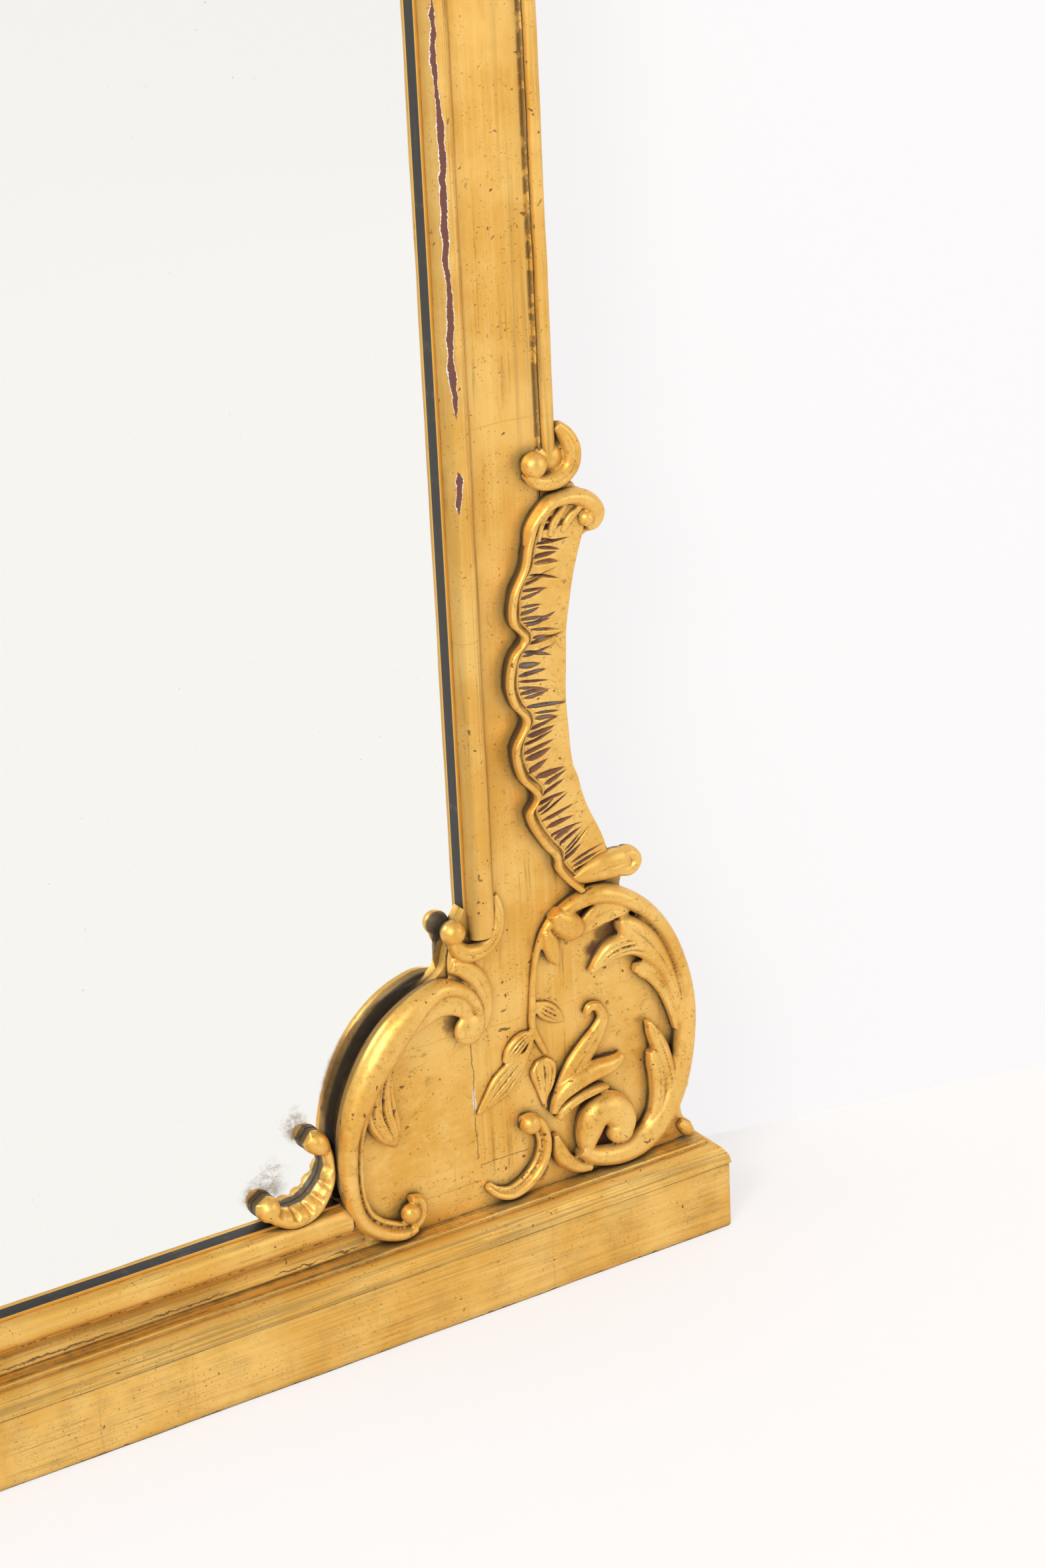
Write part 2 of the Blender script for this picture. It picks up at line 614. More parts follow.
def smooth_line(points, pitch=3.0):
    """Points spaced evenly along a smooth curve through the given ones, whatever they carry."""
    p = np.asarray(points, dtype=float)
    ends = np.concatenate([[2 * p[0] - p[1]], p, [2 * p[-1] - p[-2]]])
    fine = []
    for i in range(1, len(ends) - 2):
        a, b, c, d = ends[i - 1:i + 3]
        for t in np.linspace(0, 1, 17)[:-1]:
            fine.append(0.5 * (2 * b + (c - a) * t + (2 * a - 5 * b + 4 * c - d) * t ** 2
                               + (3 * b - a - 3 * c + d) * t ** 3))
    fine.append(ends[-2])
    fine = np.array(fine)
    length = np.concatenate([[0], np.cumsum(np.linalg.norm(np.diff(fine[:, :2], axis=0), axis=1))])
    at = np.linspace(0, length[-1], max(3, int(length[-1] / pitch) + 1))
    return np.stack([np.interp(at, length, fine[:, i]) for i in range(p.shape[1])], axis=1)


def shaped_board(outline, front, back, edge=1.2, joint_x=0.0):
    """A flat board with rounded arrises, but square at joint_x; its outline runs clockwise from the front."""
    line = np.asarray(outline, dtype=float)
    ahead = np.roll(line, -1, axis=0) - line
    behind = line - np.roll(line, 1, axis=0)
    ahead /= np.linalg.norm(ahead, axis=1)[:, None] + 1e-9
    behind /= np.linalg.norm(behind, axis=1)[:, None] + 1e-9
    run = ahead + behind
    run /= np.linalg.norm(run, axis=1)[:, None] + 1e-9
    inward = np.stack([run[:, 1], -run[:, 0]], axis=1) * (line[:, :1] > joint_x)
    rings = []
    for inset, y in ((edge * 1.5, front), (edge * 0.5, front + edge * 0.3), (0, front + edge),
                     (0, back - edge), (edge, back)):
        moved = line + inward * inset
        rings.append(np.stack([moved[:, 0], np.full(len(line), y), moved[:, 1]], axis=1))
    return run_along(rings)


def moved_to(corner, points):
    return [(corner[0] + x, corner[1] + z) for x, z in points]


corner_edge = [(-124, 45.5), (-127.5, 75), (-126.5, 104), (-119, 134), (-108, 155), (-93, 174), (-76, 189),
               (-60, 200), (-42, 211), (-26, 223), (-20, 240), (-10, 256), (0, 272)]
ear_edge = [(-40, 0), (-24, 3), (-19, 9), (-21, 14), (-28, 21), (-30, 34), (-27, 42), (-23, 49), (-24, 56),
            (-28, 64), (-25, 85), (-22, 118), (-24, 150), (-36, 186), (-58, 220), (-82, 246), (-80, 264),
            (-94, 284), (-108, 312), (-122, 344)]
ear_height = 352.0
ear_thickness = 28.0


def corner_board():
    line = smooth_line(moved_to(sight_corner, corner_edge))
    outline = [tuple(p) for p in line] + [(sight_x, sight_bottom)]
    return shaped_board(outline, panel_y, glass_y, 0.1, sight_x)


def ear_board():
    line = smooth_line(moved_to(base_corner, ear_edge))[::-1]
    outline = [(stile_outer, base_top), (stile_outer, base_top + ear_height)] + [tuple(p) for p in line]
    return shaped_board(outline, panel_y, panel_y + ear_thickness, joint_x=stile_outer)


both_sides("corner_board", *corner_board(), gold_boards, "corner_block", crisp=30)
both_sides("corner_board_top", *turned_over(*corner_board()), gold_boards, "top_corner_block", crisp=30)
both_sides("ear", *ear_board(), gold_boards, "ear_board", crisp=30)


# ---------------------------------------------------------------- sight mouldings and outer beads
# Half-round moulding with a small fillet round the glass and a plain bead down the outer edge. The leaf on
# the sight moulding has flaked along its ridge, down to the red bole with broken white gesso at its edges.
torus_width = 22.0
torus_foot_rise = 4.0
torus_rise = 8.0
torus_foot = base_top + 244.0
bead_rise = 5.4
corner_cover = 128.0
bead_foot = base_top + 623.0
flake_lines = ((0.752, 3.0), (0.676, 0.714))


def torus_section():
    """(across, rise) from the sight edge outwards."""
    rise = [(torus_width * (1 - math.cos(a)) / 2, torus_foot_rise + torus_rise * math.sin(a) ** 0.8)
            for a in np.linspace(0, math.pi, 15)]
    return ([(0.0, 0.0)] + rise + [(22.3, 1.6), (22.8, 1.3), (23.2, 2.6)]
            + [(24.6 + 1.2 * math.cos(a), 1.8 + 1.3 * math.sin(a)) for a in np.linspace(math.pi * 0.9, 0, 6)]
            + [(26.0, 0.0)])


def bead_section():
    roll = [(2.6 + 5.6 * (1 - math.cos(a)), 2.6 + bead_rise * math.sin(a) ** 0.8)
            for a in np.linspace(0.1, math.pi - 0.1, 11)]
    return [(0.0, 0.0), (0.0, 2.6), (1.4, 3.2), (2.2, 2.2)] + roll + [(bead_width, 2.2), (bead_width, 0.0)]


def upright_run(section, x, low, high):
    rings = [[(x + across, panel_y - rise, z) for across, rise in section] for z in spaced(low, high, 10)]
    points, faces = run_along(rings)
    return wavering(points), faces


def level_run(section, reach, z):
    rings = [[(x, panel_y - rise, z - across) for across, rise in section]
             for x in spaced(-reach, reach, 10)]
    points, faces = run_along(rings)
    return wavering(points), faces


def moulding_marks(tree, spot, grain):
    """The worn line along the sight moulding's ridge, its greenish inner side and the crusty groove of its
    fillet."""
    side = abs(spot[0])
    z = spot[2]
    ragged = (grain(75.0, 5.0, 0.75) - 0.5) * 0.0070 + (grain(9.0, 2.0) - 0.5) * 0.012
    distance = abs(side - (sight_x + 0.33 * torus_width) * MM + ragged)
    present = z * 0.0
    for low, high in flake_lines:
        present = larger(z.step(low, low + 0.012) * z.step(high, high - 0.008), present)
    swell = grain(16.0, 3.0).step(0.22, 0.55) * present
    gesso = maths(tree, "LESS_THAN", distance, swell * 0.0031)
    bole = maths(tree, "LESS_THAN", distance, swell * 0.0026)
    fillet = sight_x * MM + 0.0226
    crust = grain(100.0, 5.0, 0.75).step(0.40, 0.52) * abs(side - fillet).step(0.0011, 0.0005)
    shade = side.step((sight_x + 8.0) * MM, (sight_x + 2.0) * MM) * 0.42
    lines = streaky(tree, 3.0, 0.5, side * 700.0, z * 6.0)
    browned = lines.step(0.50, 0.68) * 0.55 * side.step((sight_x + 11.0) * MM, (sight_x + 16.0) * MM)
    return ((larger(shade, browned), olive_tone), (gesso, gesso_white), (bole, bole_red),
            (crust * 0.8, brown_tone))


gold_flaked = gilding("gilding_flaked", stretch=(1.6, 1, 0.035), wear=0.2, marks=moulding_marks)
upright_torus = upright_run(torus_section(), sight_x, torus_foot, mirror_axis_z - torus_foot)
both_sides("sight_moulding", *upright_torus, gold_flaked, "stile_torus", crisp=50)
level_torus = level_run(torus_section(), sight_x - corner_cover, sight_bottom)
finished("sight_moulding_bottom", *level_torus, gold_along_x, "bottom_torus", crisp=50)
finished("sight_moulding_top", *turned_over(*level_torus), gold_along_x, "top_torus", crisp=50)
upright_bead = upright_run(bead_section(), stile_outer - bead_width, bead_foot, frame_top)
both_sides("outer_bead", *upright_bead, gold_along_z, "outer_bead", crisp=50)


# ---------------------------------------------------------------- outer scroll
# Carved in limewood in one piece with the ear: a broad C-scroll that rolls over at the top, acanthus leaves
# inside its curve, a plume, and a volute at its foot. Each stroke is (x, z, width, rise) along its line.
lobe_depth = 0.14
stroke_pitch = 1.3
carving_grid = 0.95


def dome(t, u):
    """Round-backed band; t runs from -1 to 1 across it and u from 0 to 1 along it."""
    return 0.35 + 0.65 * np.sqrt(np.clip(1 - t * t, 0, 1))


def leafy(veins=1, crease=0.20, cup=0.0):
    """Leaf with a creased middle and finer creases beside it; cup lowers its middle."""
    def shape(t, u):
        body = 0.42 + 0.58 * np.sqrt(np.clip(1 - np.abs(t) ** 2.4, 0, 1)) - cup * (1 - t * t)
        cuts = np.zeros_like(t)
        for i in range(-veins + 1, veins):
            weight = crease if i == 0 else crease * 0.6
            cuts += weight * np.exp(-((t - i * 0.9 / veins) / 0.10) ** 2)
        return body - cuts * np.sin(math.pi * np.clip(u * 1.05, 0.06, 1)) ** 0.5
    return shape


def carved_stroke(corner, stroke, shape=dome, seat=panel_y, undercut=1.6, lobes=0):
    """A closed carved band along a smooth line; lobes notch its edges as on a leaf."""
    line = smooth_line(stroke, stroke_pitch)
    centre = line[:, :2] + corner
    along = np.gradient(centre, axis=0)
    along /= np.linalg.norm(along, axis=1)[:, None]
    side = np.stack([-along[:, 1], along[:, 0]], axis=1)
    t = -np.cos(np.linspace(0, math.pi, 25))
    rings = []
    last = len(line) - 1
    for i, (x, z, width, rise) in enumerate(line):
        u = i / last
        notch = 1 - lobe_depth * abs(math.sin(math.pi * lobes * u)) ** 0.35 if lobes else 1.0
        half = max(width, 1.5) / 2 * (notch + (lobe_depth if lobes else 0))
        heights = np.maximum(rise * shape(t, u), 0.6)
        tuck = min(undercut, half * 0.4)
        across = np.concatenate([[-half + tuck], t * half, [half - tuck]])
        up = np.concatenate([[-1.0], heights, [-1.0]])
        rings.append(np.stack([centre[i, 0] + side[i, 0] * across, seat - up,
                               centre[i, 1] + side[i, 1] * across], axis=1))
    return run_along(rings)


def carved(corner, strokes, **more):
    """A carved band for each (line, shape) pair."""
    return [carved_stroke(corner, line, shape, **more) for line, shape in strokes]


def carved_ball(corner, x, z, radius, rise, flat=1.0):
    """A ball whose centre stands rise before the panel."""
    points = []
    faces = []
    rows = 18
    columns = 28
    for i in range(rows + 1):
        polar = math.pi * i / rows
        for j in range(columns):
            turn = 2 * math.pi * j / columns
            points.append((corner[0] + x + radius * math.sin(polar) * math.cos(turn),
                           panel_y - rise - radius * flat * math.cos(polar),
                           corner[1] + z + radius * math.sin(polar) * math.sin(turn)))
    for i in range(rows):
        for j in range(columns):
            k = (j + 1) % columns
            faces.append((i * columns + j, (i + 1) * columns + j, (i + 1) * columns + k, i * columns + k))
    return np.array(points), faces


def joined(shapes):
    points = []
    faces = []
    start = 0
    for some_points, some_faces in shapes:
        points.append(np.asarray(some_points))
        faces += [tuple(start + i for i in face) for face in some_faces]
        start += len(some_points)
    return np.concatenate(points), faces


def skinned(shapes, grid=carving_grid):
    """One closed skin over overlapping carved shapes, as points in millimetres and faces."""
    points, faces = joined(shapes)
    mesh = bpy.data.meshes.new("rough_carving")
    mesh.from_pydata(wavering(points).tolist(), [], faces)
    rough = bpy.data.objects.new("rough_carving", mesh)
    bpy.context.collection.objects.link(rough)
    skin = rough.modifiers.new("skin", "REMESH")
    skin.mode = "VOXEL"
    skin.voxel_size = grid
    smooth = rough.modifiers.new("smooth", "SMOOTH")
    smooth.factor = 0.5
    smooth.iterations = 1
    done = bpy.data.meshes.new_from_object(rough.evaluated_get(bpy.context.evaluated_depsgraph_get()))
    skin_points = np.empty(len(done.vertices) * 3)
    done.vertices.foreach_get("co", skin_points)
    skin_faces = [tuple(face.vertices) for face in done.polygons]
    bpy.data.objects.remove(rough)
    bpy.data.meshes.remove(mesh)
    bpy.data.meshes.remove(done)
    return skin_points.reshape(-1, 3), skin_faces


outer_roll = [(-172, 184, 4, 4), (-170, 206, 5, 5), (-163, 226, 7, 7), (-151, 240, 10, 10),
              (-132, 249, 14, 14), (-109, 252, 17, 17), (-85, 242, 16, 18), (-63, 224, 15, 18),
              (-45, 198, 14, 18), (-33, 167, 14, 17), (-27, 132, 15, 17), (-29, 99, 19, 16),
              (-36, 67, 21, 16), (-49, 40, 23, 16), (-69, 20, 24, 16), (-95, 12, 21, 16),
              (-121, 16, 17, 15), (-137, 27, 14, 13)]
upper_leaf = [(-91, 224, 5, 13), (-86, 219, 17, 16), (-77, 210, 23, 17), (-65, 197, 23, 17),
              (-54, 181, 19, 16), (-45, 162, 14, 15), (-38, 142, 9, 13), (-34, 122, 6, 12)]
long_leaf = [(-119, 183, 4, 9), (-110, 191, 13, 12), (-98, 199, 19, 15), (-82, 200, 20, 16),
             (-67, 193, 20, 16), (-54, 179, 18, 15), (-44, 160, 15, 14), (-37, 138, 12, 13),
             (-32, 113, 8, 11)]
curled_leaf = [(-75, 175, 8, 9), (-67, 172, 15, 11), (-57, 164, 16, 11), (-47, 149, 14, 11),
               (-40, 130, 11, 11), (-35, 109, 8, 10)]
lower_leaf = [(-64, 123, 4, 9), (-61, 114, 11, 12), (-55, 99, 15, 14), (-49, 79, 15, 14),
              (-45, 57, 15, 13), (-49, 38, 14, 12), (-58, 26, 10, 11)]
inner_lobe = [(-63, 95, 6, 10), (-61, 87, 13, 13), (-58, 73, 15, 14), (-58, 54, 14, 13), (-63, 38, 11, 12),
              (-72, 28, 7, 10)]
tear_lobe = [(-160, 231, 9, 10), (-157, 221, 15, 12), (-154, 209, 13, 11), (-151, 200, 6, 8)]
roll_lobe = [(-152, 246, 12, 13), (-146, 238, 22, 16), (-138, 230, 25, 16), (-131, 225, 20, 14),
             (-127, 221, 10, 10)]
roll_underside = [(-128, 221, 8, 8), (-118, 228, 18, 12), (-107, 234, 22, 14), (-96, 235, 20, 16),
                  (-86, 230, 10, 15), (-81, 225, 4, 10)]
plume = [(-159, 67, 8, 6), (-151, 84, 15, 8), (-139, 102, 20, 10), (-125, 116, 20, 10), (-114, 127, 16, 9),
         (-108, 139, 11, 8), (-112, 149, 9, 8), (-120, 152, 8, 8), (-124, 146, 6, 7)]
plume_side = [(-161, 67, 6, 8), (-155, 80, 12, 12), (-142, 90, 17, 15), (-124, 95, 18, 15),
              (-108, 95, 16, 14), (-97, 97, 12, 12), (-91, 101, 7, 9)]
plume_low = [(-156, 60, 6, 8), (-149, 69, 9, 11), (-135, 76, 10, 13), (-120, 78, 9, 13), (-107, 76, 5, 9)]
volute_turn = [(-131, 22, 11, 12), (-129, 38, 23, 16), (-122, 54, 27, 19), (-109, 58, 29, 20),
               (-98, 48, 29, 20), (-97, 35, 23, 19), (-103, 27, 13, 15)]
volute_leaf = [(-160, 47, 6, 8), (-158, 35, 13, 11), (-152, 22, 14, 12), (-140, 12, 11, 12), (-127, 7, 7, 10)]
volute_boss = (-99, 35, 12.5, 8)
edge_lumps = [[(-31, 60, 6, 4), (-28, 54, 9, 6), (-29, 47, 6, 4)],
              [(-34, 18, 7, 6), (-27, 10, 11, 8), (-23, 5, 8, 7)]]


def outer_scroll():
    shapes = carved(base_corner, (
        (outer_roll, dome), (upper_leaf, leafy(1, 0.16)), (long_leaf, leafy(2, 0.36)),
        (curled_leaf, leafy(1, 0.15, 0.18)), (lower_leaf, leafy(1, 0.22)), (inner_lobe, leafy(1, 0.14)),
        (roll_lobe, dome), (tear_lobe, leafy(1, 0.10)), (roll_underside, leafy(1, 0.1, 0.25)),
        (plume, leafy(1, 0.16)), (plume_side, leafy(1, 0.12)), (plume_low, leafy(1, 0.15)),
        (volute_turn, dome), (volute_leaf, leafy(1, 0.15))))
    shapes += carved(base_corner, [(lump, dome) for lump in edge_lumps], undercut=0.4)
    shapes.append(carved_ball(base_corner, *volute_boss))
    return skinned(shapes)


gold_leaf = gilding("gilding_carved", wear=0.35, carved=True)
both_sides("outer_scroll", *outer_scroll(), gold_leaf, "outer_scroll")


# ---------------------------------------------------------------- rocaille wing and outer hook
# Carved limewood up the stile's outer edge: a long wing of shell work with a scalloped rim that stands
# proud, a hollow field cut with gouged flutes, a volute at its head and a curl at its foot. A small hooked
# scroll above it ends the outer bead.
wing_pairs = [((-128, 258), (-96, 278)), ((-140, 270), (-100, 292)), ((-149, 283), (-105, 306)),
              ((-150, 293), (-110, 317)), ((-160, 306), (-116, 330)), ((-171, 325), (-121, 345)),
              ((-174, 338), (-124, 358)), ((-166, 351), (-128, 369)), ((-180, 370), (-130, 384)),
              ((-184, 395), (-131, 402)), ((-173, 416), (-132, 420)), ((-183, 432), (-132, 436)),
              ((-187, 450), (-131, 452)), ((-182, 472), (-130, 470)), ((-171, 485), (-129, 485)),
              ((-181, 500), (-126, 502)), ((-179, 522), (-121, 526)), ((-168, 542), (-115, 546)),
              ((-164, 558), (-110, 560)), ((-158, 574), (-106, 574)), ((-150, 585), (-105, 583))]
field_pitch = 0.7
wing_flutes = 56
deepest_cut = 3.4
rim_width = 5.6
rim_rise = 12.5
rim_foot = 9.5
rim_slope = 3.4
field_rise = 4.8
wing_head = [(-160, 558, 6, 10), (-158, 572, 7, 13), (-149, 583, 9, 15), (-136, 591, 12, 16),
             (-119, 591, 13, 16), (-105, 585, 15, 16), (-97, 575, 15, 15), (-99, 566, 12, 13),
             (-106, 563, 9, 11)]
head_fans = [[(-150, 560, 5, 7), (-147, 574, 7, 9), (-139, 584, 5, 9)],
             [(-139, 562, 5, 7), (-134, 574, 8, 9), (-125, 585, 6, 9)],
             [(-127, 563, 5, 7), (-121, 573, 8, 9), (-111, 581, 6, 10)]]
wing_foot = [(-132, 268, 8, 7), (-117, 271, 18, 11), (-101, 274, 24, 15), (-87, 275, 24, 15),
             (-78, 276, 17, 12)]
foot_curl = [(-92, 268, 10, 14), (-80, 267, 13, 16), (-74, 274, 13, 16), (-79, 281, 11, 15),
             (-87, 281, 8, 14)]
head_boss = (-107, 571, 6.5, 8)
hook_balls = ((-153, 623, 10.5, 8), (-134, 624, 15, -6))
hook_stroke = [(-129, 650, 9, 9), (-121, 640, 14, 12), (-117, 628, 16, 14), (-120, 615, 16, 14),
               (-133, 607, 15, 14), (-149, 608, 12, 13), (-158, 616, 9, 12)]


def wing_field():
    """The fluted field as a fine grid between its two edges, closed at the back, and how deep each point
    is cut."""
    lines = smooth_line([(*a, *b) for a, b in wing_pairs], field_pitch)
    count = len(lines)
    width = np.hypot(lines[:, 2] - lines[:, 0], lines[:, 3] - lines[:, 1])[:, None]
    t = np.concatenate([np.linspace(0, 0.16, 26), np.linspace(0.165, 1, 74)])[None, :]
    run = np.concatenate([[0], np.cumsum(np.hypot(*np.diff(lines[:, 2:], axis=0).T))])[:, None]
    from_edge = t * width
    chance = np.random.default_rng(11)
    ripple = 0.7 * np.sin(run / 5.3) + 0.5 * np.sin(run / 2.9 + 1)
    rim = np.sqrt(np.clip(1 - ((from_edge - rim_width * 0.48) / (rim_width * 0.5)) ** 2, 0, 1))
    wall = np.clip((from_edge - rim_width) / rim_slope, 0, 1)
    ledge = field_rise + (2.2 + 0.6 * ripple) * np.exp(-((from_edge - rim_width - 5.2) / 1.3) ** 2)
    height = rim_foot + np.where(from_edge < rim_width, (rim_rise - rim_foot) * rim,
                                 (ledge - rim_foot) * wall ** 0.6)
    height = height + 2.6 * np.clip((t - 0.5) / 0.5, 0, 1) ** 1.6
    cut = np.zeros_like(height)
    pitches = chance.uniform(0.55, 1.5, wing_flutes)
    middles = np.cumsum(pitches) / pitches.sum() * (run[-1, 0] - 6)
    for middle, pitch in zip(middles, pitches):
        deep = chance.uniform(1.6, deepest_cut)
        start = rim_width + chance.uniform(2.5, 7.0)
        reach = start + chance.uniform(24.0, 38.0)
        wide = chance.uniform(0.95, 1.7) * pitch ** 0.5
        slope = chance.uniform(-0.22, 0.02)
        bow = chance.uniform(-0.006, 0.008)
        share = np.clip((from_edge - start) / (reach - start), 0, 1)
        taper = np.clip(4 * share, 0, 1) * np.clip(2.2 * (1 - share), 0, 1)
        past = from_edge - start
        off = (run - middle - slope * past - bow * past ** 2) / np.maximum(wide * (0.45 + 0.55 * taper), 0.1)
        groove = taper * np.exp(-off ** 2)
        cut = np.maximum(cut, groove * deep / deepest_cut)
        height = height - deep * groove + 0.45 * taper * np.exp(-(np.abs(off) - 1.9) ** 2 / 0.4)
    height = np.maximum(height, 0.6)
    share = t[..., None]
    flat = lines[:, None, :2] * (1 - share) + lines[:, None, 2:] * share
    front = np.stack([flat[..., 0] + base_corner[0], panel_y - height,
                      flat[..., 1] + base_corner[1]], axis=2)
    rings = []
    for i in range(count):
        low_left = front[i, 0] * (1, 0, 1) + (1.6, panel_y + 1.0, 0)
        low_right = front[i, -1] * (1, 0, 1) + (0, panel_y + 18.0, 0)
        rings.append(np.concatenate([[low_left], front[i], [low_right]]))
    points, faces = run_along(rings)
    return points, faces, np.pad(cut, ((0, 0), (1, 1))).reshape(-1)


def edge_backing(edge, low, high):
    """Wood behind the carving where it stands out past the stile."""
    line = smooth_line(moved_to(base_corner, edge))
    line = line[(line[:, 1] >= base_top + low) & (line[:, 1] <= base_top + high)]
    outline = [(stile_outer, line[0][1]), *[tuple(p) for p in line], (stile_outer, line[-1][1])][::-1]
    return shaped_board(outline, panel_y - 1, panel_y + 20, 0.8)


wing_edge = [(-130, 480), (-125, 506), (-119, 531), (-111, 551), (-96, 560), (-91, 572), (-98, 588),
             (-112, 598), (-114, 622), (-119, 640), (-130, 652)]
head_span = (530, 600)
hook_span = (600, 650)


def wing_ends():
    shapes = [edge_backing(wing_edge, *head_span), carved_stroke(base_corner, wing_head),
              carved_ball(base_corner, *head_boss)]
    shapes += carved(base_corner, ((wing_foot, leafy(1, 0.12)), (foot_curl, dome)))
    shapes += carved(base_corner, [(stroke, leafy(1, 0.25)) for stroke in head_fans], undercut=0.3)
    return skinned(shapes)


def outer_hook():
    shapes = carved(base_corner, ((hook_stroke, leafy(1, 0.14)),))
    shapes += [carved_ball(base_corner, *ball) for ball in hook_balls]
    shapes.append(edge_backing(wing_edge, *hook_span))
    return skinned(shapes)


bole_grey = (0.20, 0.175, 0.15, 1)


def gouge_marks(tree, spot, grain):
    """Bole left bare in the cut flutes, gone grey along the middle of the wing."""
    deep = Maths(tree, add_node(tree, "ShaderNodeAttribute", attribute_name="gouged").outputs["Fac"])
    deep = deep + (grain(160.0, 4.0, 0.7) - 0.5) * 0.35
    worn = deep.step(0.12, 0.24) * grain(28.0, 3.0).step(0.34, 0.48)
    z = spot[2]
    greyed = z.step(0.475, 0.505) * z.step(0.615, 0.585) * grain(60.0, 4.0).step(0.40, 0.50)
    return (worn * 0.9, bole_red), (greyed * deep.step(0.34, 0.50), bole_grey)


gold_gouged = gilding("gilding_gouged", carved=True, marks=gouge_marks)
field_points, field_faces, field_cut = wing_field()
end_points, end_faces = wing_ends()
points, faces = joined([(field_points, field_faces), (end_points, end_faces)])
cuts = np.concatenate([field_cut, np.zeros(len(end_points))])
both_sides("rocaille_wing", points, faces, gold_gouged, "rocaille_wing", gouged=cuts)
both_sides("outer_hook", *outer_hook(), gold_leaf, "outer_hook")


# ---------------------------------------------------------------- small scroll and flower spray
# A small C-scroll on the foot of the frame, and above it a low spray of leaves and buds on thin stems, cut
# shallow in the same wood before it was gessoed.
small_roll = [(-192, 70, 9, 10), (-184, 68, 14, 12), (-175, 60, 13, 13), (-172, 43, 12, 13),
              (-177, 27, 13, 13), (-189, 15, 13, 13), (-205, 9, 12, 12), (-218, 13, 10, 11),
              (-226, 21, 7, 8)]
small_ball = (-185, 66, 9, 7)
spray_grid = 0.8
spray_strokes = [
    ([(-169, 214, 4, 4), (-172, 192, 5, 4), (-174, 168, 6, 5), (-175, 150, 6, 5), (-169, 134, 6, 5),
      (-163, 122, 5, 4)], 0),
    ([(-174, 146, 5, 4), (-181, 128, 5, 4), (-188, 119, 4, 3)], 0),
    ([(-180, 128, 6, 4), (-193, 119, 17, 6), (-207, 107, 22, 6), (-219, 97, 14, 5), (-231, 87, 3, 3)], 3),
    ([(-175, 144, 5, 4), (-186, 141, 14, 6), (-196, 133, 14, 6), (-203, 125, 4, 3)], 2),
    ([(-172, 168, 6, 4), (-163, 161, 15, 6), (-153, 153, 13, 6), (-145, 146, 4, 3)], 2),
    ([(-168, 118, 10, 5), (-167, 110, 24, 7), (-166, 97, 20, 6), (-167, 82, 8, 4), (-166, 73, 3, 3)], 3),
]


def rolled(inner, fillet_from=0.0):
    """Round roll; past fillet_from along the line it has a groove and a low fillet on its inner side."""
    def shape(t, u):
        q = t * inner
        roll = 0.40 + 0.60 * np.sqrt(np.clip(1 - ((q + 0.30) / 0.70) ** 2, 0, 1))
        fillet = 0.36 + 0.26 * np.sqrt(np.clip(1 - ((q - 0.72) / 0.30) ** 2, 0, 1))
        grooved = np.where(q < 0.36, roll, np.where(q < 0.44, 0.34, fillet))
        share = min(max((u - fillet_from) / 0.08, 0), 1) if fillet_from else 1.0
        return grooved * share + dome(t, u) * (1 - share)
    return shape


def small_scroll():
    shapes = [carved_stroke(base_corner, small_roll, rolled(-1)), carved_ball(base_corner, *small_ball)]
    return skinned(shapes)


def flower_spray():
    strokes = [(stroke, leafy(veins, 0.75) if veins else dome) for stroke, veins in spray_strokes]
    return skinned(carved(base_corner, strokes, undercut=0.3), spray_grid)


both_sides("small_scroll", *small_scroll(), gold_leaf, "small_scroll")
both_sides("flower_spray", *flower_spray(), gold_leaf, "flower_spray")


# ---------------------------------------------------------------- inner scroll and ball scroll
# Carved limewood glued over the corner board: the big C-scroll that carries the sight edge round the corner,
# with a leaf inside it, a neck and a hooked end under the sight moulding. A link with two balls stands on
# the glass in its angle.
inner_roll = [(0, 157, 5, 8), (3, 170, 8, 11), (1, 185, 9, 13), (-7, 198, 11, 14), (-19, 207, 13, 15),
              (-34, 211, 16, 17), (-50, 206, 20, 19), (-64, 197, 25, 21), (-78, 185, 29, 22),
              (-91, 171, 30, 23), (-105, 153, 27, 22), (-116, 131, 25, 21), (-123, 105, 23, 20),
              (-125, 76, 22, 19), (-122, 49, 20, 18), (-115, 31, 19, 17), (-103, 19, 18, 16),
              (-90, 12, 17, 16), (-79, 9, 15, 15), (-69, 10, 12, 13)]
roll_strand = [(-78, 172, 10, 13), (-66, 184, 17, 14), (-53, 192, 23, 14), (-37, 198, 25, 14),
               (-22, 195, 21, 13), (-11, 186, 15, 12), (-6, 176, 9, 11)]
end_curl = [(-72, 10, 12, 12), (-65, 14, 11, 12), (-61, 22, 10, 12), (-63, 31, 9, 12), (-71, 34, 7, 10)]
inner_leaf = [(-72, 178, 8, 11), (-84, 162, 14, 13), (-92, 142, 22, 14), (-94, 121, 30, 15),
              (-89, 104, 26, 14), (-84, 92, 15, 11), (-82, 85, 5, 7)]
neck = [(-3, 204, 26, 3), (-5, 214, 33, 3), (-5, 226, 35, 3), (-4, 238, 33, 3)]
sight_hook = [(-20, 252, 8, 12), (-15, 242, 13, 12), (-5, 234, 15, 12), (10, 234, 15, 12),
              (22, 245, 14, 12), (26, 262, 12, 9), (24, 276, 8, 6)]
hook_knob = (-17, 255, 10.5, 5)
roll_ball = (-7, 168, 14, 6, 0.5)
curl_boss = (-73, 23, 8.5, 8)
feather = [(-20, 226, 12, 8), (-8, 220, 16, 9), (4, 207, 17, 9), (10, 190, 15, 8), (10, 171, 11, 6),
           (5, 158, 5, 4)]
